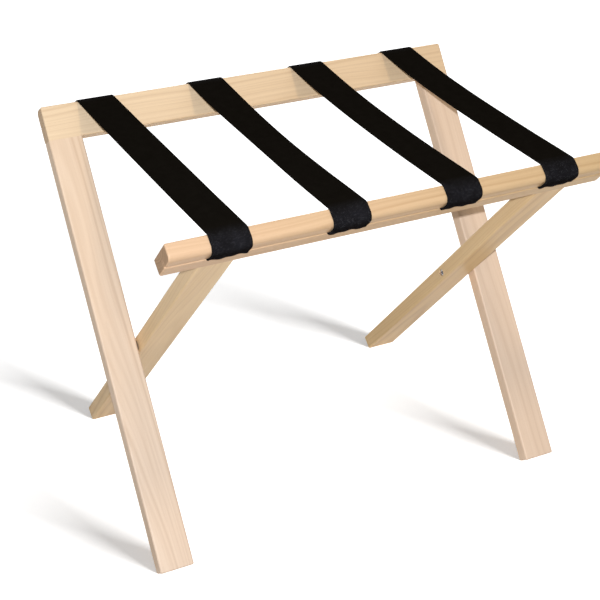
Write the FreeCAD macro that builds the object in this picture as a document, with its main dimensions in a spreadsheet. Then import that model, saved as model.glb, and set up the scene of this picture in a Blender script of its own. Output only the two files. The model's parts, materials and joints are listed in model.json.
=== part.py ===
import FreeCAD, Part
import math
import os
import Sketcher
from FreeCAD import Placement, Rotation, Vector

# Hotel luggage bench: two wooden frames that cross at a pair of pivot bolts, with four webbing straps
# between the top rails. Millimetres, +Z up, +X along the rails, -Y towards the front rail. The origin is on
# the floor, under the middle of the pivot axis.

# The driving dimensions. The legs are named by where they stand: the outer pair carries the rear rail and
# reaches the floor at the front, the inner pair carries the front rail and reaches the floor at the rear.
DIMENSIONS = {
    "rail_length": 600,
    "rail_height": 45,  # along the slope of its frame
    "rail_thick": 21,
    "leg_thick": 20,  # flush with the rail on the inner face, and set back on the outer one
    "leg_width": 45,
    "leg_below": 284,  # pivot to foot, along the leg
    "frame_above": 322,  # pivot to the rail's top edge, along the leg
    "lean_angle": 38.75,  # of each frame, from upright
    "side_gap": 2.2,  # between an outer leg and the inner leg beside it
    "edge_round": 2.5,
    "strap_edge_round": 8,  # the rails' outer top edge, which the straps bend over
    "foot_round": 2,
    "groove_low": 22.5,  # rail top to the lower wall of the strap groove
    "groove_width": 3.4,
    "groove_depth": 10,
    "lip_round": 0.5,
    "low_lip_round": 1.5,
    "strap_width": 50,
    "strap_thick": 1.8,
    "strap_clear": 0.1,
    "strap_tuck": 8.5,  # length of webbing inside the groove
    "strap_droop": 3,  # angle at which the webbing leaves the rail
    "strap_far_left": -225,  # centres of the four straps along the rails
    "strap_mid_left": -71,
    "strap_mid_right": 81,
    "strap_far_right": 224,
    "strip_deep": 7.5,
    "strip_thin": 1.3,  # its thickness under a strap
    "strip_gap": 0.5,  # behind it, at the bottom of the groove
    "strip_play": 0.1,
    "relief_past": 3,  # how far its thin stretch runs past each side of a strap
    "dowel_diameter": 8,
    "dowel_length": 40,
    "dowel_spacing": 22,
    "dowel_in_rail": 17,
    "dowel_end_gap": 1,
    "running_gap": 0.05,  # radial, round every shaft and dowel
    "bolt_diameter": 6,
    "bolt_length": 65,
    "bolt_tip_bevel": 0.8,
    "head_diameter": 10,
    "head_height": 5,
    "socket_flats": 5,
    "socket_depth": 2.6,
    "counterbore_diameter": 10.6,
    "counterbore_depth": 7,
    "bore_past_bolt": 2,
    "insert_diameter": 8,
    "insert_length": 20,
    "insert_recess": 0.5,
    "slot_width": 1.4,
    "slot_depth": 1.6,
    "spacer_diameter": 14,
    "spacer_thick": 2,
    "cutter_past": 1,  # how far a cutter stands out of the face that it opens
}

# Tolerances
TOUCHING = 1e-4  # mm, between a point and the plane that it lies on
PARALLEL = 0.999  # least cosine of the angle between two directions taken as one
SHORTEST_EDGE = 1  # mm, of the straight edges that are looked for
LEAST_CUT = 1  # mm3, taken away by any cut
NEARLY_WHOLE = 0.999  # share of the strap's slack that its arc takes, so that no straight run is left out

doc = FreeCAD.newDocument("luggage_bench")
sheet = doc.addObject("Spreadsheet::Sheet", "Dims")
for row, (name, value) in enumerate(DIMENSIONS.items(), 1):
    sheet.set(f"A{row}", name)
    sheet.set(f"B{row}", str(value))
    sheet.setAlias(f"B{row}", name)
doc.recompute()


def dim(name):
    return float(sheet.get(name))


# Values worked out from the driving dimensions. Up a frame, 0 is the pivot axis.
lean = math.radians(dim("lean_angle"))
rail_top = dim("frame_above")
rail_bottom = rail_top - dim("rail_height")
half_leg = dim("leg_thick") / 2
rail_face = dim("rail_thick") - half_leg  # the rail's outer face, from the middle of the legs
groove_floor = rail_top - dim("groove_low")
groove_roof = groove_floor + dim("groove_width")
outer_leg_x = dim("rail_length") / 2 - dim("leg_width") / 2
inner_leg_x = outer_leg_x - dim("leg_width") - dim("side_gap")
# A foot is cut square, so it stands on its lower, rounded edge.
pivot_height = (
    (dim("leg_below") - dim("foot_round")) * math.cos(lean)
    + (half_leg - dim("foot_round")) * math.sin(lean)
    + dim("foot_round")
)

parts = []


def stand(front, x=0.0, turned=False):
    """Placement of a frame's own axes: X across, Z up the slope, Y towards the frame's outer face when it
    isn't turned for the rear rail's frame, and when it is turned for the front rail's."""
    slope = Rotation(Vector(1, 0, 0), dim("lean_angle") * (1 if front else -1))
    turn = Rotation(Vector(0, 0, 1), 180 if turned else 0)
    return Placement(Vector(x, 0, pivot_height), slope.multiply(turn))


def keep(piece, label, placement):
    """Puts a finished piece in its place and on the list of parts to write."""
    piece.Label = label
    piece.Placement = placement
    parts.append(piece)


def sketch(body, name, role, lift=0.0):
    """A sketch on one of the body's own planes, moved along that plane's normal."""
    made = body.newObject("Sketcher::SketchObject", name)
    plane = next(f for f in body.Origin.OriginFeatures if f.Role == role)
    made.AttachmentSupport = (plane, [""])
    made.MapMode = "FlatFace"
    made.AttachmentOffset = Placement(Vector(0, 0, lift), Rotation())
    return made


def rectangle(made, low, high, width, height):
    """A closed rectangle with its low corner fixed, whose sides are bound to two expressions."""
    around = ((low[0], low[1]), (high[0], low[1]), (high[0], high[1]), (low[0], high[1]))
    corners = [Vector(*corner) for corner in around]
    for start, end in zip(corners, corners[1:] + corners[:1]):
        made.addGeometry(Part.LineSegment(start, end), False)
    for side in range(4):
        made.addConstraint(Sketcher.Constraint("Coincident", side, 2, (side + 1) % 4, 1))
        made.addConstraint(Sketcher.Constraint("Vertical" if side % 2 else "Horizontal", side))
    made.addConstraint(Sketcher.Constraint("DistanceX", -1, 1, 0, 1, low[0]))
    made.addConstraint(Sketcher.Constraint("DistanceY", -1, 1, 0, 1, low[1]))
    for kind, side, name, size, bound in (
        ("DistanceX", 0, "width", high[0] - low[0], width),
        ("DistanceY", 1, "height", high[1] - low[1], height),
    ):
        at = made.addConstraint(Sketcher.Constraint(kind, side, 1, side, 2, size))
        made.renameConstraint(at, name)
        made.setExpression(f"Constraints.{name}", bound)


def circles(made, centres, diameter):
    """Circles of one bound diameter at the given centres."""
    for number, (across, up) in enumerate(centres):
        made.addGeometry(Part.Circle(Vector(across, up), Vector(0, 0, 1), 1), False)
        made.addConstraint(Sketcher.Constraint("DistanceX", -1, 1, number, 3, across))
        made.addConstraint(Sketcher.Constraint("DistanceY", -1, 1, number, 3, up))
        at = made.addConstraint(Sketcher.Constraint("Diameter", number, 2))
        made.renameConstraint(at, f"hole{number}")
        made.setExpression(f"Constraints.hole{number}", diameter)


def pad(body, made, length, both_ways=False):
    """Gives a sketch a length, to one side of its plane or half to each."""
    feature = body.newObject("PartDesign::Pad", made.Name + "Pad")
    feature.Profile = made
    feature.setExpression("Length", length)
    feature.Midplane = both_ways
    return feature


def cut(body, made, length, both_ways=False, upward=False):
    """Takes a sketch's section out of the body, and stops if nothing was taken."""
    feature = body.newObject("PartDesign::Pocket", made.Name + "Cut")
    feature.Profile = made
    feature.setExpression("Length", length)
    feature.Midplane = both_ways
    feature.Reversed = upward
    doc.recompute()
    if feature.Shape.Volume > feature.BaseFeature.Shape.Volume - LEAST_CUT:
        raise RuntimeError(feature.Name + " removes nothing")
    return feature


def round_edges(body, base, wanted, radius):
    """Rounds the edges of the last feature for which wanted(edge) is true."""
    doc.recompute()
    names = [f"Edge{i}" for i, edge in enumerate(base.Shape.Edges, 1) if wanted(edge)]
    feature = body.newObject("PartDesign::Fillet", base.Name + "Round")
    feature.Base = (base, names)
    feature.setExpression("Radius", radius)
    doc.recompute()
    return feature


def lies_at(axis, value):
    """True for an edge whose ends both have that value along that axis."""
    return lambda edge: all(abs(getattr(v.Point, axis) - value) < TOUCHING for v in edge.Vertexes)


def runs_along(axis):
    """True for a straight edge along that axis."""

    def parallel(edge):
        if edge.Length < SHORTEST_EDGE:
            return False
        return abs(getattr(edge.tangentAt(edge.FirstParameter), axis)) > PARALLEL

    return parallel


def leg(label, front, x, turned, holds_head):
    """A flat leg with its long edges and its foot rounded, and its pivot bore at the local origin. The side
    that holds the bolt's head or the insert is local +X. A leg that holds the insert is bored blind."""
    body = doc.addObject("PartDesign::Body", label)
    half_width = dim("leg_width") / 2
    board = sketch(body, "Board", "XY_Plane", -dim("leg_below"))
    low, high = (-half_width, -half_leg), (half_width, half_leg)
    rectangle(board, low, high, "Dims.leg_width", "Dims.leg_thick")
    blank = pad(body, board, "Dims.leg_below + Dims.frame_above - Dims.rail_height")
    long_edges = round_edges(body, blank, runs_along("z"), "Dims.edge_round")
    round_edges(body, long_edges, lies_at("z", -dim("leg_below")), "Dims.foot_round")

    bore = sketch(body, "Bore", "YZ_Plane", half_width)
    circles(bore, [(0, 0)], "Dims.bolt_diameter + 2 * Dims.running_gap")
    seat = sketch(body, "Seat", "YZ_Plane", half_width)
    if holds_head:
        circles(seat, [(0, 0)], "Dims.counterbore_diameter")
        cut(body, seat, "Dims.counterbore_depth")
        cut(body, bore, "2 * Dims.leg_width")
    else:
        circles(seat, [(0, 0)], "Dims.insert_diameter + 2 * Dims.running_gap")
        cut(body, seat, "Dims.insert_recess + Dims.insert_length")
        in_inner_leg = "Dims.leg_width - Dims.counterbore_depth + Dims.side_gap"
        cut(body, bore, f"Dims.bolt_length + Dims.bore_past_bolt - ({in_inner_leg})")

    sockets = sketch(body, "Sockets", "XY_Plane", rail_bottom)
    spread = dim("dowel_spacing") / 2
    circles(sockets, [(-spread, 0), (spread, 0)], "Dims.dowel_diameter + 2 * Dims.running_gap")
    cut(body, sockets, "Dims.dowel_length - Dims.dowel_in_rail + Dims.dowel_end_gap")
    keep(body, label, stand(front, x, turned))


def rounded_rectangle(made, centre, width, depth, radius):
    """Four sides joined by quarter circles, round a centre."""
    for quarter in range(4):
        turn = Rotation(Vector(0, 0, 1), 90 * quarter)
        reach, rise = (width, depth) if quarter % 2 == 0 else (depth, width)
        ends = [
            Vector(reach / 2, radius - rise / 2),
            Vector(reach / 2, rise / 2 - radius),
            Vector(reach / 2 - radius + radius * math.sqrt(0.5), rise / 2 - radius + radius * math.sqrt(0.5)),
            Vector(reach / 2 - radius, rise / 2),
        ]
        side = [turn.multVec(point) + centre for point in ends]
        made.addGeometry(Part.LineSegment(side[0], side[1]), False)
        made.addGeometry(Part.Arc(side[1], side[2], side[3]), False)


def seam(edge):
    """True for the two lines where a rail's large rounding runs smoothly into its faces."""
    start = dim("strap_edge_round")
    return lies_at("y", rail_face - start)(edge) or lies_at("z", rail_top - start)(edge)


def rail(label, front, leg_x):
    """A top rail, rounded all over and most where the straps bend over it, with their groove along its outer
    face (local +Y). Where a leg meets it the rounding of its inner face is filled out to the leg's own section,
    so that the joint is flush on that side."""
    body = doc.addObject("PartDesign::Body", label)
    section = sketch(body, "Section", "YZ_Plane")
    low, high = (-half_leg, rail_bottom), (rail_face, rail_top)
    rectangle(section, low, high, "Dims.rail_thick", "Dims.rail_height")
    blank = pad(body, section, "Dims.rail_length", both_ways=True)
    along, outer, top = runs_along("x"), lies_at("y", rail_face), lies_at("z", rail_top)
    bent = round_edges(body, blank, lambda e: along(e) and outer(e) and top(e), "Dims.strap_edge_round")
    round_edges(body, bent, lambda e: not seam(e), "Dims.edge_round")

    footing = sketch(body, "Footing", "XY_Plane", rail_bottom)
    depth = dim("leg_thick") - dim("edge_round")
    for side in (-1, 1):
        centre = Vector(side * leg_x, depth / 2 - half_leg)
        rounded_rectangle(footing, centre, dim("leg_width"), depth, dim("edge_round"))
    pad(body, footing, "Dims.edge_round")

    groove = sketch(body, "Groove", "YZ_Plane")
    rectangle(
        groove,
        (rail_face - dim("groove_depth"), groove_floor),
        (rail_face + dim("cutter_past"), groove_roof),
        "Dims.groove_depth + Dims.cutter_past",
        "Dims.groove_width",
    )
    opened = cut(body, groove, "2 * Dims.rail_length", both_ways=True)
    roof, floor = lies_at("z", groove_roof), lies_at("z", groove_floor)
    eased = round_edges(body, opened, lambda e: along(e) and outer(e) and roof(e), "Dims.lip_round")
    round_edges(body, eased, lambda e: along(e) and outer(e) and floor(e), "Dims.low_lip_round")

    sockets = sketch(body, "Sockets", "XY_Plane", rail_bottom)
    spread = dim("dowel_spacing") / 2
    centres = [(side * leg_x + offset, 0) for side in (-1, 1) for offset in (-spread, spread)]
    circles(sockets, centres, "Dims.dowel_diameter + 2 * Dims.running_gap")
    cut(body, sockets, "Dims.dowel_in_rail + Dims.dowel_end_gap", upward=True)
    keep(body, label, stand(front, turned=front))


def band(made, path, radii, thick):
    """The outline of a flat band in section: the path's straight runs joined by tangent arcs of the given
    radii, moved half the thickness to each side, and closed by the two ends."""
    runs = [(b - a).normalize() for a, b in zip(path, path[1:])]
    left = [Vector(-run.y, run.x) for run in runs]
    for side in (-1, 1):
        offset = side * thick / 2
        start = path[0] + left[0] * offset
        for corner, radius, before, after, n1, n2 in zip(path[1:-1], radii, runs, runs[1:], left, left[1:]):
            half_turn = before.getAngle(after) / 2
            reach = radius * math.tan(half_turn)
            into, out = corner - before * reach, corner + after * reach
            way = 1 if before.cross(after).z > 0 else -1
            centre = into + n1 * (way * radius)
            middle = centre + (corner - centre).normalize() * (radius - way * offset)
            made.addGeometry(Part.LineSegment(start, into + n1 * offset), False)
            made.addGeometry(Part.Arc(into + n1 * offset, middle, out + n2 * offset), False)
            start = out + n2 * offset
        made.addGeometry(Part.LineSegment(start, path[-1] + left[-1] * offset), False)
    for end, normal in ((path[0], left[0]), (path[-1], left[-1])):
        made.addGeometry(Part.LineSegment(end - normal * (thick / 2), end + normal * (thick / 2)), False)


def strap_path():
    """The rear half of a strap in the (Y, Z) plane, from its end in the groove to the middle of the span."""
    off = dim("strap_thick") / 2 + dim("strap_clear")  # middle of the webbing, above the wood
    bend = dim("edge_round") + off
    outer_bend = dim("strap_edge_round") + off

    def world(outward, up):
        return Vector(
            up * math.sin(lean) + outward * math.cos(lean), up * math.cos(lean) - outward * math.sin(lean)
        )

    tucked = world(rail_face - dim("strap_tuck"), groove_roof - off)
    mouth = world(rail_face + off, groove_roof - off)
    outer_corner = world(rail_face + off, rail_top + off)
    bend_centre = world(-half_leg + dim("edge_round"), rail_top - dim("edge_round"))
    droop = math.radians(dim("strap_droop"))
    across = Vector(-math.cos(droop), -math.sin(droop))
    leaves = bend_centre + Vector(-math.sin(droop), math.cos(droop)) * bend
    # The webbing's slack is one arc, level in the middle of the span.
    run = leaves.x / (1 + math.cos(droop))
    slack = leaves + across * run
    half_corner = (lean + droop) / 2
    inner_corner = leaves - across * (bend * math.tan(half_corner))
    middle = Vector(0, slack.y)
    path = [tucked, mouth, outer_corner, inner_corner, slack, middle]
    radii = [dim("lip_round") + off, outer_bend, bend, NEARLY_WHOLE * run / math.tan(droop / 2)]
    return path, radii


def strap_half(label, front, x):
    """One half of a strap, from its rail's groove to the middle of the span, centred on x."""
    body = doc.addObject("PartDesign::Body", label)
    outline = sketch(body, "Outline", "YZ_Plane")
    path, radii = strap_path()
    if front:
        path = [Vector(-point.x, point.y) for point in path]
    band(outline, path, radii, dim("strap_thick"))
    pad(body, outline, "Dims.strap_width", both_ways=True)
    keep(body, label, Placement(Vector(x, 0, pivot_height), Rotation()))


def group(label, pieces, placement):
    """Several like pieces as one part."""
    made = doc.addObject("Part::Compound", label)
    made.Links = pieces
    keep(made, label, placement)


def dowels(label, front, leg_x):
    """Two dowels in each joint of a frame."""
    pieces = []
    for x in (side * leg_x + offset * dim("dowel_spacing") / 2 for side in (-1, 1) for offset in (-1, 1)):
        pin = doc.addObject("Part::Cylinder", "Dowel")
        pin.setExpression("Radius", "Dims.dowel_diameter / 2")
        pin.setExpression("Height", "Dims.dowel_length")
        pin.Placement.Base = Vector(x, 0, rail_bottom + dim("dowel_in_rail") - dim("dowel_length"))
        pieces.append(pin)
    group(label, pieces, stand(front))


def box(name, corner, *sizes):
    """A block from its low corner, with its three sizes bound to expressions."""
    made = doc.addObject("Part::Box", name)
    for size, bound in zip(("Length", "Width", "Height"), sizes):
        made.setExpression(size, bound)
    made.Placement.Base = corner
    return made


def cylinder(name, diameter, height):
    made = doc.addObject("Part::Cylinder", name)
    made.setExpression("Radius", f"({diameter}) / 2")
    made.setExpression("Height", height)
    return made


def difference(name, base, tool):
    made = doc.addObject("Part::Cut", name)
    made.Base, made.Tool = base, tool
    return made


def retaining_strip(label, front, strap_xs):
    """The strip that fills a rail's groove, set back from its face. It is thinned under each strap, where it
    jams the webbing against the groove's roof."""
    inmost = rail_face - dim("groove_depth") + dim("strip_gap")
    corner = Vector(-dim("rail_length") / 2, inmost, groove_floor)
    whole = box("Strip", corner, "Dims.rail_length", "Dims.strip_deep", "Dims.groove_width - Dims.strip_play")
    reach = dim("strap_width") / 2 + dim("relief_past")
    tools = []
    for x in (-x if front else x for x in strap_xs):
        corner = Vector(x - reach, inmost - dim("cutter_past"), groove_floor + dim("strip_thin"))
        tools.append(box(
            "Relief", corner, "Dims.strap_width + 2 * Dims.relief_past",
            "Dims.strip_deep + 2 * Dims.cutter_past", "Dims.groove_width",
        ))
    reliefs = doc.addObject("Part::Compound", "Reliefs")
    reliefs.Links = tools
    keep(difference(label, whole, reliefs), label, stand(front, turned=front))


def into_bench(side, x):
    """Placement of a turned part whose local Z points to the middle of the bench from that side."""
    return Placement(Vector(side * x, 0, pivot_height), Rotation(Vector(0, 1, 0), -90 * side))


def bolt(label, side):
    """Pivot bolt: local Z 0 is under the head, the shank runs the other way, the hex socket is on top."""
    shank = cylinder("Shank", "Dims.bolt_diameter", "Dims.bolt_length - Dims.bolt_tip_bevel")
    shank.setExpression("Placement.Base.z", "Dims.bolt_tip_bevel - Dims.bolt_length")
    tip = doc.addObject("Part::Cone", "Tip")
    tip.setExpression("Radius1", "Dims.bolt_diameter / 2 - Dims.bolt_tip_bevel")
    tip.setExpression("Radius2", "Dims.bolt_diameter / 2")
    tip.setExpression("Height", "Dims.bolt_tip_bevel")
    tip.setExpression("Placement.Base.z", "-Dims.bolt_length")
    head = cylinder("Head", "Dims.head_diameter", "Dims.head_height")
    whole = doc.addObject("Part::MultiFuse", "Turned")
    whole.Shapes = [tip, shank, head]
    whole.Refine = True
    socket = doc.addObject("Part::Prism", "Socket")
    socket.Polygon = 6
    socket.setExpression("Circumradius", "Dims.socket_flats / cos(30) / 2")
    socket.setExpression("Height", "Dims.socket_depth + Dims.cutter_past")
    socket.setExpression("Placement.Base.z", "Dims.head_height - Dims.socket_depth")
    under_head = inner_leg_x - dim("leg_width") / 2 + dim("counterbore_depth")
    keep(difference(label, whole, socket), label, into_bench(side, under_head))


def insert(label, side):
    """Threaded insert in the outer leg, slotted for its driver. Local Z 0 is its buried end."""
    sleeve = cylinder("Sleeve", "Dims.insert_diameter", "Dims.insert_length")
    thread = cylinder("Thread", "Dims.bolt_diameter + 2 * Dims.running_gap", "Dims.insert_length")
    corner = Vector(-dim("insert_diameter"), -dim("slot_width") / 2, dim("insert_length") - dim("slot_depth"))
    slot = box("Slot", corner, "2 * Dims.insert_diameter", "Dims.slot_width", "2 * Dims.slot_depth")
    piece = difference(label, difference("Threaded", sleeve, thread), slot)
    mouth = outer_leg_x - dim("leg_width") / 2 + dim("insert_recess")
    keep(piece, label, into_bench(side, mouth + dim("insert_length")))


def spacer(label, side):
    """Washer that keeps an inner leg off the outer leg beside it."""
    disc = cylinder("Disc", "Dims.spacer_diameter", "Dims.spacer_thick")
    hole = cylinder("Hole", "Dims.bolt_diameter + 2 * Dims.running_gap", "Dims.spacer_thick")
    keep(difference(label, disc, hole), label, into_bench(side, outer_leg_x - dim("leg_width") / 2))


leg("outer_left_leg", False, -outer_leg_x, False, False)
leg("outer_right_leg", False, outer_leg_x, True, False)
rail("rear_rail", False, outer_leg_x)
dowels("outer_frame_dowels", False, outer_leg_x)
leg("inner_left_leg", True, -inner_leg_x, False, True)
leg("inner_right_leg", True, inner_leg_x, True, True)
rail("front_rail", True, inner_leg_x)
dowels("inner_frame_dowels", True, inner_leg_x)

strap_xs = [dim(f"strap_{place}") for place in ("far_left", "mid_left", "mid_right", "far_right")]
for number, x in enumerate(strap_xs, 1):
    strap_half(f"strap_{number}_rear", False, x)
    strap_half(f"strap_{number}_front", True, x)
retaining_strip("rear_retaining_strip", False, strap_xs)
retaining_strip("front_retaining_strip", True, strap_xs)

for side, name in ((-1, "left"), (1, "right")):
    bolt(f"pivot_bolt_{name}", side)
    insert(f"pivot_insert_{name}", side)
    spacer(f"pivot_spacer_{name}", side)

doc.recompute()
for thing in doc.Objects:
    if {"Invalid", "Error"} & set(thing.State):
        raise RuntimeError(f"{thing.Label} failed: {thing.State}")
for piece in parts:
    if piece.Shape.isNull() or not piece.Shape.isValid():
        raise RuntimeError(f"{piece.Label} has no valid shape")

os.makedirs("parts", exist_ok=True)
for piece in parts:
    piece.Shape.exportStep(f"parts/{piece.Label}.step")
    print(f"{piece.Label}: {len(piece.Shape.Solids)} solid(s), {piece.Shape.Volume / 1000:.2f} cm3")
lowest = min(piece.Shape.BoundBox.ZMin for piece in parts)
highest = max(piece.Shape.BoundBox.ZMax for piece in parts)
print(f"{len(parts)} pieces from {lowest:.3f} to {highest:.2f} mm, pivot at {pivot_height:.2f} mm")
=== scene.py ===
import json
from math import atan2, cos, pi, radians, sin, tan

import bpy
import numpy as np
from mathutils import Matrix, Vector


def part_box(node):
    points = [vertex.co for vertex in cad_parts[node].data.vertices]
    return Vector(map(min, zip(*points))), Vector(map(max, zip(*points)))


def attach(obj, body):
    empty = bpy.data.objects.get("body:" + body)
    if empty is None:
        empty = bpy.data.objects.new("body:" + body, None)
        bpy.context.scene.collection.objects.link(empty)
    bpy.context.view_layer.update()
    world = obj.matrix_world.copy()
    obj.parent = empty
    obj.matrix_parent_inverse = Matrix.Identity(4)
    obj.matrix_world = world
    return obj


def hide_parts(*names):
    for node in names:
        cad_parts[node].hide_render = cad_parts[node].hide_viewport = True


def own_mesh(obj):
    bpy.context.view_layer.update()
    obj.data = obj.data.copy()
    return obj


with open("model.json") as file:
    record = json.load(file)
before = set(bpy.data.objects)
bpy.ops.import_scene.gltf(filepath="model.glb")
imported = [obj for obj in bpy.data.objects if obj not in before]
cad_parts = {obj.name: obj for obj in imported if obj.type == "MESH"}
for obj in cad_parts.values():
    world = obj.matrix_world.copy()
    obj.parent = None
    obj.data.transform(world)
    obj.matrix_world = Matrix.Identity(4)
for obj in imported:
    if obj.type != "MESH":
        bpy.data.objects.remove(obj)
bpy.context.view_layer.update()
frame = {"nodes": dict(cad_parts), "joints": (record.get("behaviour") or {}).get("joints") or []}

nodes = frame["nodes"]
pivotHeight = frame["joints"][0]["pos_m"][2]

# Sizes of the two frames, as in the CAD part. Up a frame, 0 is the pivot axis; outward, 0 is mid leg.
bench = {
    "lean": radians(38.75),  # of each frame, from upright
    "railTop": 0.322,
    "railInnerFace": -0.010,
    "railOuterFace": 0.011,
    "grooveFloor": 0.2995,
    "grooveRoof": 0.3029,
    "edgeRounding": 0.0025,
    "strapEdgeRounding": 0.008,  # the outer top edge of each rail
}


def onFrame(outward, up):
    # A point of the rear rail's frame, given outward from mid leg and up from the pivot, as (Y, Z).
    lean = bench["lean"]
    return np.array([
        up * sin(lean) + outward * cos(lean),
        up * cos(lean) - outward * sin(lean) + pivotHeight,
    ])


def gridPiece(name, points, uv=None, flip=False, sharpEnds=False):
    # A surface over two parameters: points[row, column] is joined to its neighbours by four-sided faces.
    # flip turns the faces over, and sharpEnds creases the first and the last row.
    rows, columns = points.shape[:2]
    number = np.arange(rows * columns).reshape(rows, columns)
    corners = [number[:-1, :-1], number[:-1, 1:], number[1:, 1:], number[1:, :-1]]
    faces = np.stack(corners[::-1] if flip else corners, axis=-1).reshape(-1, 4)
    mesh = bpy.data.meshes.new(name)
    mesh.from_pydata(points.reshape(-1, 3).tolist(), [], faces.tolist())
    mesh.polygons.foreach_set("use_smooth", np.ones(len(faces), bool))
    if uv is not None:
        layer = mesh.uv_layers.new(name="weave")
        layer.data.foreach_set("uv", uv.reshape(-1, 2)[faces.ravel()].astype(np.float32).ravel())
    mesh.update()
    if sharpEnds:
        ends = np.zeros(rows * columns, bool)
        ends[number[0]] = ends[number[-1]] = True
        pairs = np.empty(len(mesh.edges) * 2, np.int32)
        mesh.edges.foreach_get("vertices", pairs)
        pairs = pairs.reshape(-1, 2)
        cutEdge = ends[pairs].all(axis=1) & (pairs[:, 0] // columns == pairs[:, 1] // columns)
        mesh.attributes.new("sharp_edge", "BOOLEAN", "EDGE").data.foreach_set("value", cutEdge)
    piece = bpy.data.objects.new(name, mesh)
    bpy.context.scene.collection.objects.link(piece)
    return piece


def roundedPath(corners, radii, step):
    # Straight runs between the corners, with each inner corner replaced by the arc of its radius that is
    # tangent to both its runs. The points are about one step apart.
    corners = [np.asarray(corner, float) for corner in corners]
    stretches = []
    start = corners[0]
    for before, corner, after, radius in zip(corners, corners[1:], corners[2:], radii):
        into = (corner - before) / np.linalg.norm(corner - before)
        out = (after - corner) / np.linalg.norm(after - corner)
        turn = atan2(into[0] * out[1] - into[1] * out[0], into @ out)
        reach = radius * tan(abs(turn) / 2)
        side = 1 if turn > 0 else -1
        centre = corner - into * reach + side * radius * np.array([-into[1], into[0]])
        angles = np.linspace(0, turn, max(4, int(abs(turn) * radius / step) + 1))[:, None]
        spoke = corner - into * reach - centre
        turned = np.array([-spoke[1], spoke[0]])
        stretches.append(straight(start, corner - into * reach, step))
        stretches.append((centre + np.cos(angles) * spoke + np.sin(angles) * turned)[:-1])
        start = corner + out * reach
    stretches.append(straight(start, corners[-1], step))
    return np.concatenate([*stretches, corners[-1][None]])


def straight(start, end, step):
    # Evenly spaced points from start up to, but without, end.
    share = np.linspace(0, 1, max(1, round(np.linalg.norm(end - start) / step)) + 1)[:-1, None]
    return start + (end - start) * share


def addNode(tree, kind, inputs=None, **settings):
    # One node, with its settings, and its inputs as plain values or as other nodes' sockets.
    made = tree.nodes.new(kind)
    for name, value in settings.items():
        setattr(made, name, value)
    for name, value in (inputs or {}).items():
        if isinstance(value, bpy.types.NodeSocket):
            tree.links.new(value, made.inputs[name])
        else:
            made.inputs[name].default_value = value
    return made


noiseRange = (0.3, 0.7)  # where most of a noise's values lie


def mathNode(tree, operation, *values, clamp=False):
    # The values taken together by one operation, such as their sum, and cut to 0 to 1 where clamp is set.
    inputs = dict(enumerate(values))
    return addNode(tree, "ShaderNodeMath", inputs, operation=operation, use_clamp=clamp).outputs[0]


def noise(tree, place, scale, detail=2.0, roughness=0.5):
    # Smooth noise with scale bumps in a unit of place, plus finer layers, each roughness times as strong.
    inputs = {"Vector": place, "Scale": scale, "Detail": detail, "Roughness": roughness}
    return addNode(tree, "ShaderNodeTexNoise", inputs).outputs["Fac"]


def mapRange(tree, value, low, high, toLow=0.0, toHigh=1.0):
    # A straight line from toLow at low to toHigh at high, and level outside them.
    inputs = {"Value": value, "From Min": low, "From Max": high, "To Min": toLow, "To Max": toHigh}
    return addNode(tree, "ShaderNodeMapRange", inputs).outputs["Result"]


def mixColour(tree, factor, first, second, blend="MIX"):
    # (1 - factor) of the first colour plus factor of the second, or of their product for MULTIPLY.
    made = addNode(tree, "ShaderNodeMix", data_type="RGBA", blend_type=blend)
    for socket, value in ((made.inputs[0], factor), (made.inputs[6], first), (made.inputs[7], second)):
        if isinstance(value, bpy.types.NodeSocket):
            tree.links.new(value, socket)
        else:
            socket.default_value = value if socket.type == "VALUE" else (*value, 1)[:4]
    return made.outputs[2]


def newMaterial(name):
    # An empty material, and its node tree.
    made = bpy.data.materials.new(name)
    made.use_nodes = True
    made.node_tree.nodes.clear()
    return made, made.node_tree


def finishMaterial(tree, colour, roughness, height=None, bump=0.0, depth=0.0, **fixed):
    # Principled shader with a bump; the fixed numbers go straight onto the shader's own sockets.
    inputs = {"Base Color": colour, "Roughness": roughness}
    inputs.update({name.replace("_", " "): value for name, value in fixed.items()})
    if height is not None:
        inputs["Normal"] = addNode(
            tree, "ShaderNodeBump", {"Strength": bump, "Distance": depth, "Height": height}).outputs["Normal"]
    shader = addNode(tree, "ShaderNodeBsdfPrincipled", inputs)
    addNode(tree, "ShaderNodeOutputMaterial", {"Surface": shader.outputs[0]})


beech = {
    "pale": (0.94, 0.74, 0.58),
    "dark": (0.76, 0.56, 0.41),
    "honey": (0.70, 0.47, 0.28),
    "endGrain": (0.40, 0.25, 0.15),
    "ringWidth": 0.0032,
    "ringEdges": (0.40, 0.78),  # ring noise at which a ring starts to darken and is darkest
    "ringContrast": 0.60,
    "fibreContrast": 0.22,
    "broadContrast": 0.24,
    "flecks": 0.18,
    "fleckEdges": (0.60, 0.74),
    "wander": 0.022,  # how far the rings stray
    # Bumps in a metre, across and along the grain
    "slowScale": (16, 16, 2.6),
    "fibreScale": (330, 330, 6),
    "fleckScale": (1500, 1500, 240),
    "endFacing": (0.80, 0.98),  # how squarely a face must cross the grain to count as a cut end
    "reach": 0.3,  # from the pivot to where a board has its full end colour, partly tone and partly painted shade
    "roughness": 0.42,
    "fibreRoughness": 0.10,
    "endRoughness": 0.2,
    "bump": 0.2,
    "bumpDepth": 0.00008,
    "gloss": 0.3,
}


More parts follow.
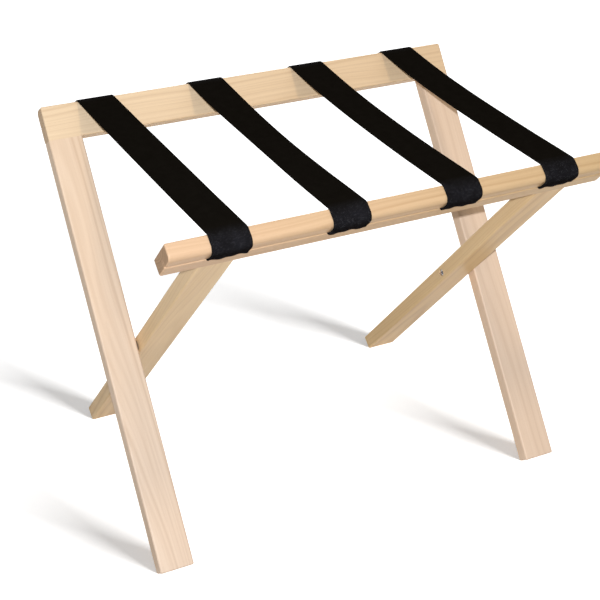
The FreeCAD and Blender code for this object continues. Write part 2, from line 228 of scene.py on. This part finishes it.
def woodMaterial(name, turn, pith, cone, tintsAndShade, darkEnds=1.0, figure=1.0):
    # Beech as a solid: growth rings round a pith line that runs beside the board, so that the faces show
    # streaks and arches and the ends show arcs. turn lays the board along Z, pith is where the line passes
    # it (across, behind), and cone is how fast the rings widen along it, which gives the arches. The two
    # colours given for the board's low and high end along the grain multiply it; they are partly the board's
    # own tone and partly painted shade, darker on the boards and towards the ends where less light falls.
    # darkEnds is how dark its cut ends are, and figure is how strongly its rings show.
    made, tree = newMaterial(name)
    placed = addNode(tree, "ShaderNodeTexCoord").outputs
    matrix = Matrix.Rotation(turn[1], 3, "Y") @ Matrix.Rotation(turn[0], 3, "X")
    board = addNode(tree, "ShaderNodeMapping", {
        "Vector": placed["Object"],
        "Location": matrix @ Vector((0, 0, -pivotHeight)),
        "Rotation": (turn[0], turn[1], 0),
    }).outputs[0]
    slow = addNode(tree, "ShaderNodeMapping", {"Vector": board, "Scale": beech["slowScale"]}).outputs[0]
    wander = addNode(tree, "ShaderNodeTexNoise", {
        "Vector": slow, "Scale": 1.0, "Detail": 1.0}).outputs["Color"]
    shifted = addNode(tree, "ShaderNodeVectorMath", {
        0: wander, 1: (beech["wander"], beech["wander"], 0), 2: board}, operation="MULTIPLY_ADD").outputs[0]
    parts = addNode(tree, "ShaderNodeSeparateXYZ", {0: shifted}).outputs
    across = mathNode(tree, "SUBTRACT", parts[0], pith[0])
    behind = mathNode(tree, "SUBTRACT", parts[1], pith[1])
    radius = mathNode(tree, "SQRT", mathNode(tree, "ADD", mathNode(tree, "MULTIPLY", across, across),
                                             mathNode(tree, "MULTIPLY", behind, behind)))
    grown = mathNode(tree, "MULTIPLY_ADD", parts[2], cone, radius)
    rings = addNode(tree, "ShaderNodeTexNoise", {
        "W": mathNode(tree, "DIVIDE", grown, beech["ringWidth"]),
        "Scale": 1.0,
        "Detail": 1.5,
        "Roughness": 0.5,
    }, noise_dimensions="1D").outputs["Fac"]
    rings = mapRange(tree, rings, *beech["ringEdges"])
    stretched = addNode(tree, "ShaderNodeMapping", {"Vector": board, "Scale": beech["fibreScale"]}).outputs[0]
    fibre = mapRange(tree, noise(tree, stretched, 1.0, 2.0, 0.6), *noiseRange)
    short = addNode(tree, "ShaderNodeMapping", {"Vector": board, "Scale": beech["fleckScale"]}).outputs[0]
    flecks = mapRange(tree, noise(tree, short, 1.0, 1.0, 0.4), *beech["fleckEdges"])
    broad = mapRange(tree, noise(tree, slow, 1.4), *noiseRange)

    tone = mathNode(tree, "MULTIPLY", rings, figure * beech["ringContrast"])
    tone = mathNode(tree, "MULTIPLY_ADD", fibre, beech["fibreContrast"], tone)
    tone = mathNode(tree, "MULTIPLY_ADD", broad, beech["broadContrast"], tone, clamp=True)
    colour = mixColour(tree, tone, beech["pale"], beech["dark"])
    colour = mixColour(tree, mathNode(tree, "MULTIPLY", flecks, beech["flecks"]), colour, beech["honey"])
    up = addNode(tree, "ShaderNodeSeparateXYZ", {0: board}).outputs[2]
    place = mapRange(tree, up, -beech["reach"], beech["reach"])
    # Painted shade as well as tone: the board is multiplied by a colour that runs from its low end's to its
    # high end's.
    colour = mixColour(tree, 1.0, colour, mixColour(tree, place, *tintsAndShade), "MULTIPLY")

    # Cut ends soak up the lacquer and are darker.
    along = matrix.inverted() @ Vector((0, 0, 1))
    facing = addNode(tree, "ShaderNodeVectorMath", {
        0: placed["Normal"], 1: along}, operation="DOT_PRODUCT").outputs["Value"]
    cutEnd = mapRange(tree, mathNode(tree, "ABSOLUTE", facing), *beech["endFacing"], 0.0, darkEnds)
    endTone = mixColour(tree, rings, beech["endGrain"], beech["honey"])
    endTone = mixColour(tree, 0.5, endTone, beech["endGrain"])
    colour = mixColour(tree, cutEnd, colour, endTone)
    roughness = mathNode(tree, "MULTIPLY_ADD", fibre, beech["fibreRoughness"], mathNode(
        tree, "MULTIPLY_ADD", cutEnd, beech["endRoughness"], beech["roughness"]))
    height = mathNode(tree, "SUBTRACT", fibre, flecks)
    finishMaterial(tree, colour, roughness, height, beech["bump"], beech["bumpDepth"],
                   Specular_IOR_Level=beech["gloss"])
    return made


# Turns about X and then Y that lay a board along Z.
upRear = (bench["lean"], 0)
upFront = (-bench["lean"], 0)
alongRear = (bench["lean"], -pi / 2)
alongFront = (-bench["lean"], -pi / 2)
# Each board's two end colours are partly its own tone and partly painted shade, where less light falls on it.
boards = {
    "outer_left_leg": {
        "turn": upRear, "pith": (-0.284, -0.026), "cone": 0.034,
        "tintsAndShade": ((0.92, 0.91, 0.89), (0.92, 0.90, 0.84))},
    "outer_right_leg": {
        "turn": upRear, "pith": (0.262, 0.040), "cone": 0.014, "figure": 0.5,
        "tintsAndShade": ((1.0, 0.98, 0.95), (0.98, 0.95, 0.90))},
    "inner_left_leg": {
        "turn": upFront, "pith": (-0.205, 0.054), "cone": 0.018,
        "tintsAndShade": ((0.86, 0.79, 0.55), (1.0, 0.96, 0.76))},
    "inner_right_leg": {
        "turn": upFront, "pith": (0.245, -0.044), "cone": 0.020,
        "tintsAndShade": ((0.90, 0.82, 0.55), (0.91, 0.83, 0.60))},
    "rear_rail": {
        "turn": alongRear, "pith": (-0.330, -0.042), "cone": 0.010, "darkEnds": 0.45,
        "tintsAndShade": ((0.93, 0.91, 0.78), (0.93, 0.87, 0.70))},
    "front_rail": {
        "turn": alongFront, "pith": (-0.285, 0.038), "cone": 0.012,
        "tintsAndShade": ((0.77, 0.66, 0.53), (0.74, 0.66, 0.45))},
}
for node, board in boards.items():
    nodes[node].material_slots[0].material = woodMaterial(node + "_beech", **board)
sameWood = {"rear_rail": ("rear_retaining_strip", "outer_frame_dowels"),
            "front_rail": ("front_retaining_strip", "inner_frame_dowels")}
for rail, others in sameWood.items():
    for node in others:
        nodes[node].material_slots[0].material = nodes[rail].material_slots[0].material
print("wood done")


hardware = {
    "zinc": (0.62, 0.63, 0.66),
    "zincDark": 0.7,  # its darkest mottle, as a part of the colour
    "zincRoughness": (0.28, 0.43),
    "mottleScale": 900,
    # The spacer's colour is painted shade, dark brown like the shadowed gap between the crossed legs.
    "gapShadeNylon": (0.11, 0.075, 0.050),
    "nylonDark": 0.85,
    "nylonRoughness": (0.4, 0.55),
    "cloudScale": 250,
}


def metalMaterial(name):
    # Zinc plate: dull metal with a fine mottle.
    made, tree = newMaterial(name)
    place = addNode(tree, "ShaderNodeTexCoord").outputs["Object"]
    mottle = noise(tree, place, hardware["mottleScale"], 3.0, 0.6)
    colour = hardware["zinc"]
    darker = tuple(hardware["zincDark"] * c for c in colour)
    tone = mixColour(tree, mapRange(tree, mottle, *noiseRange), colour, darker)
    roughness = mapRange(tree, mottle, *noiseRange, *hardware["zincRoughness"])
    finishMaterial(tree, tone, roughness, mottle, 0.15, 0.00005, Metallic=1.0)
    return made


def gapShadeNylonMaterial(name):
    # Moulded nylon, slightly cloudy, coloured dark brown as painted shade: the spacer stands in for the
    # shaded gap between the crossed legs.
    made, tree = newMaterial(name)
    place = addNode(tree, "ShaderNodeTexCoord").outputs["Object"]
    cloud = noise(tree, place, hardware["cloudScale"])
    colour = hardware["gapShadeNylon"]
    tone = mixColour(tree, cloud, colour, tuple(hardware["nylonDark"] * c for c in colour))
    roughness = mapRange(tree, cloud, *noiseRange, *hardware["nylonRoughness"])
    finishMaterial(tree, tone, roughness, cloud, 0.05, 0.0001)
    return made


zinc = metalMaterial("zinc")
gapShadeNylon = gapShadeNylonMaterial("gapShadeNylon")
for side in ("left", "right"):
    nodes["pivot_bolt_" + side].material_slots[0].material = zinc
    nodes["pivot_insert_" + side].material_slots[0].material = zinc
    nodes["pivot_spacer_" + side].material_slots[0].material = gapShadeNylon
print("hardware done")


webbing = {
    "width": 0.0495,
    "thickness": 0.0018,
    "clear": 0.0004,  # between the wood and the webbing's underside
    "tucked": 0.0085,  # length inside the groove
    "grooveLift": 0.0004,  # how far above the groove's middle it lies there
    "mouthRadius": 0.0016,
    "puff": 0.0006,  # how far it stands off the rail's outer face
    "wave": 0.0016,  # how unevenly it goes into the groove
    "waveReach": 0.0028,  # how far from the groove's mouth that shows
    "ripples": (4.3, 9.1),  # of the wave, in radians from the strap's middle to its edge
    "aslant": 0.0014,  # how far to the left it is drawn there
    "aslantReach": 0.005,
    "innerBend": 0.009,  # radius of its middle where it leaves the rail
    "pastBend": 0.001,  # length of the wrap beyond that bend
    "crown": 0.0005,  # how far its edges hang below its middle, over the span
    "selvedge": 0.0012,  # width of the thinner edge
    "edgeFullness": 0.45,  # the edge's thickness, as a part of the strap's
    "columns": 41,  # of the mesh, across
    "rows": 61,  # of the mesh, along half a span
    "step": 0.0006,  # between two rows over a rail
    "rowsAcross": 34,
    "floatsAlong": 24,  # in one width of length
    "humpPower": 0.6,  # below 1 makes the floats flatter
    "fuzzScale": 2600,
    "fuzz": 0.25,
    "unevenScale": 90,
    "leastLit": 0.5,  # how much of a float's paler tone shows where the weave is dullest
    "glintScale": 620,
    "glintEdges": (0.52, 0.70),
    "colour": (0.0046, 0.0038, 0.0028),
    "raised": (0.0100, 0.0084, 0.0066),
    "paintedSheen": (0.020, 0.020, 0.026),  # painted sheen on the raised yarns where it bends over a rail
    "paintedGlint": (0.060, 0.060, 0.068),  # painted glints, the brightest of them
    "sheenFrom": (3.7, 4.2),  # where the painted sheen starts and is full, from the middle of the span, in widths
    "roughness": (0.47, 0.65),
    "bump": 0.6,
    "bumpDepth": 0.0003,
    "hangTilt": radians(4.6),  # how far outward the rear strip hangs when the bench is folded
    "hangClear": 0.00195,  # how far it then stands off its rail
    "hangKeep": 0.0004,  # the part of its span's depth that a hanging strip keeps
}
strapRuns = {
    # strap: how far its left and right edge sag, how much sooner than later it drops from the rear rail,
    # and how far it lies to the right of its CAD solid at the rear rail and at the front rail
    1: {"sag": (0.0005, 0.0), "early": 0.0, "slide": (-0.0010, 0.0004)},
    2: {"sag": (0.0024, 0.0069), "early": 0.20, "slide": (0.0006, -0.0020)},
    3: {"sag": (0.0051, 0.0056), "early": 0.30, "slide": (0.0012, -0.0014)},
    4: {"sag": (0.0049, 0.0046), "early": 0.50, "slide": (0.0033, -0.0025)},
}


def webbingMaterial():
    # A brick-like weave on the strap's own UV map, where one unit is one strap width: rows of yarn across
    # the strap, each a chain of floats that starts half a float later than in the row beside it.
    made, tree = newMaterial("black_webbing")
    weave = addNode(tree, "ShaderNodeTexCoord").outputs["UV"]
    uv = addNode(tree, "ShaderNodeSeparateXYZ", {0: weave}).outputs
    row = mathNode(tree, "MULTIPLY", uv[1], webbing["rowsAcross"])
    shift = mathNode(tree, "MULTIPLY", mathNode(tree, "FLOOR", row), 0.5)
    alongRow = mathNode(tree, "MULTIPLY_ADD", uv[0], webbing["floatsAlong"], shift)
    inRow = mathNode(tree, "FRACT", row)
    inFloat = mathNode(tree, "FRACT", alongRow)
    humpAcross = mathNode(tree, "SINE", mathNode(tree, "MULTIPLY", inRow, pi))
    humpAlong = mathNode(tree, "SINE", mathNode(tree, "MULTIPLY", inFloat, pi))
    hump = mathNode(tree, "MULTIPLY", humpAcross, humpAlong)
    hump = mathNode(tree, "POWER", hump, webbing["humpPower"])
    place = addNode(tree, "ShaderNodeTexCoord").outputs["Object"]
    fuzz = noise(tree, place, webbing["fuzzScale"], 2.0, 0.6)
    uneven = noise(tree, place, webbing["unevenScale"], 3.0, 0.55)
    lit = mathNode(tree, "MULTIPLY", hump, mapRange(tree, uneven, *noiseRange, webbing["leastLit"], 1.0))
    # Painted sheen and glints: over the rails the raised yarns get a paler, bluish colour in place of
    # reflected light, as the webbing has no specular reflection.
    overRail = mapRange(tree, mathNode(tree, "ABSOLUTE", uv[0]), *webbing["sheenFrom"])
    paintedGlints = mapRange(tree, noise(tree, place, webbing["glintScale"], 1.0), *webbing["glintEdges"])
    paintedSheen = mixColour(tree, paintedGlints, webbing["paintedSheen"], webbing["paintedGlint"])
    raised = mixColour(tree, overRail, webbing["raised"], paintedSheen)
    colour = mixColour(tree, lit, webbing["colour"], raised)
    height = mathNode(tree, "MULTIPLY_ADD", fuzz, webbing["fuzz"], hump)
    roughness = mapRange(tree, fuzz, *noiseRange, *webbing["roughness"])
    finishMaterial(tree, colour, roughness, height, webbing["bump"], webbing["bumpDepth"],
                   Specular_IOR_Level=0.0)
    return made


def strapLine(droop):
    # The middle of the webbing's thickness on the rear rail, as points (Y, Z): straight into the groove, up
    # the outer face, over the top and off at the angle droop below level, with an arc at each corner. The
    # last corner is where the top's line meets the line that leaves tangent to the rail's inner rounding.
    off = webbing["thickness"] / 2 + webbing["clear"]
    top, outer, rounding = bench["railTop"], bench["railOuterFace"], bench["edgeRounding"]
    inGroove = (bench["grooveRoof"] + bench["grooveFloor"]) / 2 + webbing["grooveLift"]
    across = np.array([-cos(droop), -sin(droop)])
    halfTurn = tan((bench["lean"] + droop) / 2)
    roundEdge = onFrame(bench["railInnerFace"] + rounding, top - rounding)
    touches = roundEdge + np.array([-sin(droop), cos(droop)]) * (rounding + off)
    innerCorner = touches - across * (rounding + off) * halfTurn
    corners = [
        onFrame(outer - webbing["tucked"], inGroove),
        onFrame(outer + off, inGroove),
        onFrame(outer + off, top + off),
        innerCorner,
        innerCorner + across * (webbing["innerBend"] * halfTurn + webbing["pastBend"]),
    ]
    radii = [webbing["mouthRadius"], bench["strapEdgeRounding"] + off, webbing["innerBend"]]
    return roundedPath(corners, radii, webbing["step"])


def lengthAlong(line):
    # Distance along a line at each of its points.
    return np.concatenate([[0], np.cumsum(np.linalg.norm(np.diff(line, axis=0), axis=1))])


def leftOf(line):
    # The unit normal on a line's left, at each of its points.
    way = np.gradient(line, axis=0)
    way /= np.linalg.norm(way, axis=1)[:, None]
    return np.stack([-way[:, 1], way[:, 0]], axis=1)


def strapPiece(name, points, along, across):
    # A strip from its points[row, column], the distance of each row from the middle of the span, and the
    # place of each column from -1 at its left edge to 1 at its right one. Solidify gives it its thickness.
    front = points[0, 0, 1] < 0
    uv = np.stack(np.broadcast_arrays((-1 if front else 1) * along[:, None] / webbing["width"],
                                      across / 2 + 0.5), axis=-1)
    piece = gridPiece(name, points, uv, flip=front, sharpEnds=True)
    edge = np.clip((1 - np.abs(across)) * webbing["width"] / 2 / webbing["selvedge"], 0, 1)
    thin = webbing["edgeFullness"]
    fullness = np.broadcast_to(thin + (1 - thin) * np.sqrt(edge), points.shape[:2]).ravel()
    group = piece.vertex_groups.new(name="fullness")
    for value in np.unique(fullness):
        group.add(np.flatnonzero(fullness == value).tolist(), float(value), "REPLACE")
    wall = piece.modifiers.new("thickness", "SOLIDIFY")
    wall.thickness = webbing["thickness"]
    wall.offset = 0
    wall.vertex_group = group.name
    piece.data.materials.append(bpy.data.materials["black_webbing"])
    return piece


def wrapPoints(line, across, phase):
    # The strap over the rear rail: the line carried along X, and lifted off it by a half wave over the
    # rail's outer face and by an uneven wave across the strap where it enters the groove. It is drawn to
    # the left there too.
    along = lengthAlong(line)
    faceStart = webbing["tucked"] + webbing["thickness"]
    faceLength = bench["railTop"] - bench["grooveRoof"]
    slow, quick = webbing["ripples"]
    wave = 0.5 + 0.25 * np.sin(slow * across + phase) + 0.25 * np.sin(quick * across + 2.1 * phase)
    nearMouth = np.exp(-((along - faceStart) / webbing["waveReach"]) ** 2)
    onFace = np.clip((along - faceStart) / faceLength, 0, 1)
    lift = webbing["wave"] * nearMouth[:, None] * wave + webbing["puff"] * np.sin(pi * onFace)[:, None]
    raised = line[:, None, :] - leftOf(line)[:, None, :] * lift[:, :, None]
    aslant = webbing["aslant"] * np.exp(-(np.maximum(along - faceStart, 0) / webbing["aslantReach"]) ** 2)
    x = across * webbing["width"] / 2 - aslant[:, None]
    return np.stack([x, raised[:, :, 0], raised[:, :, 1]], axis=-1), along


def spanDrop(share, early):
    # How far a strap has dropped, in parts of its sag, at a share of the way from the rear rail to the
    # front one: a parabola, leaned towards the rear rail by early.
    return 4 * share * (1 - share) * (1 + early * (1 - 2 * share))


def spanPoints(share, rearEnd, frontEnd, run, across):
    # The free span: a straight line between the ends, less the drop. Its two edges sag differently, and
    # that difference and the hanging of both edges start gently, so that the span joins the wraps smoothly.
    straightLine = rearEnd + (frontEnd - rearEnd) * share[:, None]
    left, right = run["sag"]
    gently = np.sin(pi * share[:, None]) ** 2
    drop = (left + right) / 2 * spanDrop(share, run["early"])[:, None]
    drop = drop + (right - left) / 2 * across * gently
    drop = drop + webbing["crown"] * across ** 2 * np.clip(3 * gently, 0, 1)
    y = np.broadcast_to(straightLine[:, :1], drop.shape)
    x = np.broadcast_to(across * webbing["width"] / 2, drop.shape)
    return np.stack([x, y, straightLine[:, 1:] - drop], axis=-1)


def slid(points, centre, run, reach):
    # The points moved along X to their strap's place, which changes evenly from the rear rail to the front.
    share = np.clip(0.5 - points[:, :, 1] / (2 * reach), 0, 1)
    rear, front = run["slide"]
    moved = points.copy()
    moved[:, :, 0] += centre + rear + (front - rear) * share
    return moved


webbingMaterial()
across = np.linspace(-1, 1, webbing["columns"])
for number, run in strapRuns.items():
    low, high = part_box(f"strap_{number}_rear")
    centre = (low.x + high.x) / 2
    # A parabola leaves its ends at a slope of four times its sag over its length.
    flatLength = 2 * strapLine(0.0)[-1][0]
    steepness = 4 * sum(run["sag"]) / 2 / flatLength
    droop = {"rear": atan2(steepness * (1 + run["early"]), 1),
             "front": atan2(steepness * (1 - run["early"]), 1)}
    lines = {side: strapLine(droop[side]) for side in ("rear", "front")}
    rearEnd, frontEnd = lines["rear"][-1], lines["front"][-1] * (-1, 1)
    middle = rearEnd[0] / (rearEnd[0] - frontEnd[0])
    shares = {side: np.linspace(middle, end, webbing["rows"]) for side, end in (("rear", 0), ("front", 1))}
    for side, body in (("rear", "outer_frame"), ("front", "inner_frame")):
        node = f"strap_{number}_{side}"
        mirror = np.array((1, 1 if side == "rear" else -1, 1))
        # Makes every strap's mouth wave in its own way.
        phase = 1.7 * number + (0.9 if side == "front" else 0)
        span = spanPoints(shares[side], rearEnd, frontEnd, run, across)
        spanAlong = lengthAlong(span[:, len(across) // 2, 1:])
        wrap, wrapAlong = wrapPoints(lines[side], across, phase)
        wrap = wrap * mirror
        wrapAlong = wrapAlong[-1] - wrapAlong + spanAlong[-1]

        wrapPiece = strapPiece(f"{node}_wrap", slid(wrap, centre, run, rearEnd[0]), wrapAlong, across)
        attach(wrapPiece, body)
        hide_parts(node)
        placed = slid(span[::-1], centre, run, rearEnd[0])
        spanPiece = strapPiece(f"{node}_span", placed, spanAlong[::-1], across)
        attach(spanPiece, body)
        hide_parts(node)
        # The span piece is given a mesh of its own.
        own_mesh(spanPiece)
print("straps done")


stage = {
    "floorHalf": 12.0,
    "floorColour": 0.90,
    "floorLift": 0.38,  # added where the floor is seen directly, to keep its shadows light
    "bounceColour": (0.345, 0.29, 0.215),  # the floor's colour as the bench sees it
    "skyStrength": 0.22,
}
lamps = {
    # The floor lamp lights the floor alone, and the others all but the floor.
    "key": {"watts": 27.5, "colour": (1.0, 1.07, 1.17), "size": (0.02, 0.02),
            "place": (-0.859, -1.473, 1.323)},
    "top": {"watts": 8.5, "colour": (1.0, 0.80, 0.55), "size": (0.30, 0.30), "place": (0.05, -0.60, 2.40)},
    "back fill": {"watts": 40, "colour": (1.0, 0.97, 0.93), "size": (0.8, 0.8), "place": (1.3, 2.3, 1.5)},
    "floor lamp": {"watts": 150000, "colour": (1.0, 1.0, 1.0), "size": (17.7, 3.0),
                   "place": (19.65, -34.59, 4.18)},
}


def seenDirectly(tree):
    # 1 for the camera, and for what it sees in a glossy or clear surface, and 0 for light on its way.
    ray = addNode(tree, "ShaderNodeLightPath").outputs
    glossy = mathNode(tree, "MAXIMUM", ray["Is Glossy Ray"], ray["Is Transmission Ray"])
    return mathNode(tree, "MAXIMUM", ray["Is Camera Ray"], glossy)


def makeFloor():
    # A pale floor at height 0. Seen directly, its colour is floorColour times the light on it, plus the lift.
    # The bench gets light from it as from a floor of bounceColour.
    half = stage["floorHalf"]
    corner = np.array([[[-half, -half, 0], [half, -half, 0]], [[-half, half, 0], [half, half, 0]]])
    floor = gridPiece("floor", corner)
    made, tree = newMaterial("floor_white")
    seen = seenDirectly(tree)
    colour = mixColour(tree, seen, stage["bounceColour"], (stage["floorColour"],) * 3)
    diffuse = addNode(tree, "ShaderNodeBsdfDiffuse", {"Color": colour}).outputs[0]
    lift = addNode(tree, "ShaderNodeEmission", {
        "Color": (1, 1, 1, 1), "Strength": mathNode(tree, "MULTIPLY", seen, stage["floorLift"])}).outputs[0]
    total = addNode(tree, "ShaderNodeAddShader", {0: diffuse, 1: lift}).outputs[0]
    addNode(tree, "ShaderNodeOutputMaterial", {"Surface": total})
    floor.data.materials.append(made)
    return floor


def makeSky():
    # Even white light from all round, which shows as plain white itself.
    world = bpy.data.worlds.new("sky")
    world.use_nodes = True
    tree = world.node_tree
    tree.nodes.clear()
    strength = mapRange(tree, seenDirectly(tree), 0, 1, stage["skyStrength"], 1.0)
    light = addNode(tree, "ShaderNodeBackground", {"Color": (1, 1, 1, 1), "Strength": strength}).outputs[0]
    addNode(tree, "ShaderNodeOutputWorld", {"Surface": light})
    bpy.context.scene.world = world


def makeLamp(name, floor, onFloor):
    # A flat lamp aimed at the bench, which lights the floor and nothing else, or all but the floor.
    lamp = lamps[name]
    data = bpy.data.lights.new(name, "AREA")
    data.shape = "RECTANGLE"
    data.energy = lamp["watts"]
    data.color = lamp["colour"]
    data.size, data.size_y = lamp["size"]
    made = bpy.data.objects.new(name, data)
    place = Vector(lamp["place"])
    made.location = place
    made.rotation_euler = (place - Vector((0, 0, pivotHeight))).to_track_quat("Z", "Y").to_euler()
    made.visible_camera = False
    bpy.context.scene.collection.objects.link(made)
    lit = bpy.data.collections.new(name + " lights")
    lit.objects.link(floor)
    lit.collection_objects[0].light_linking.link_state = "INCLUDE" if onFloor else "EXCLUDE"
    made.light_linking.receiver_collection = lit


view = {
    "azimuth": radians(-29.72),
    "elevation": radians(31.02),
    "roll": radians(3.05),
    "distance": 1.9923,
    "slideRight": -0.01501,
    "slideUp": 0.00509,
    "focalLength": 88.98,  # mm
    "sensorWidth": 36,
}


def makeCamera():
    # Looks at the middle of the pivot axis from the azimuth and elevation, is rolled about its own axis,
    # and then slides in its own plane.
    a, e = view["azimuth"], view["elevation"]
    forward = -Vector((sin(a) * cos(e), -cos(a) * cos(e), sin(e)))
    right = forward.cross(Vector((0, 0, 1))).normalized()
    up = right.cross(forward)
    rolledRight = right * cos(view["roll"]) + up * sin(view["roll"])
    rolledUp = up * cos(view["roll"]) - right * sin(view["roll"])
    place = Vector((0, 0, pivotHeight)) - forward * view["distance"]
    place += rolledRight * view["slideRight"] + rolledUp * view["slideUp"]
    data = bpy.data.cameras.new("camera")
    data.lens = view["focalLength"]
    data.sensor_width = view["sensorWidth"]
    camera = bpy.data.objects.new("camera", data)
    axes = Matrix((rolledRight, rolledUp, -forward)).transposed()
    camera.matrix_world = Matrix.Translation(place) @ axes.to_4x4()
    bpy.context.scene.collection.objects.link(camera)
    bpy.context.scene.camera = camera


floor = makeFloor()
makeSky()
makeLamp("key", floor, False)
makeLamp("top", floor, False)
makeLamp("back fill", floor, False)
makeLamp("floor lamp", floor, True)
makeCamera()
bpy.context.scene.view_settings.view_transform = "Standard"
print("stage done")
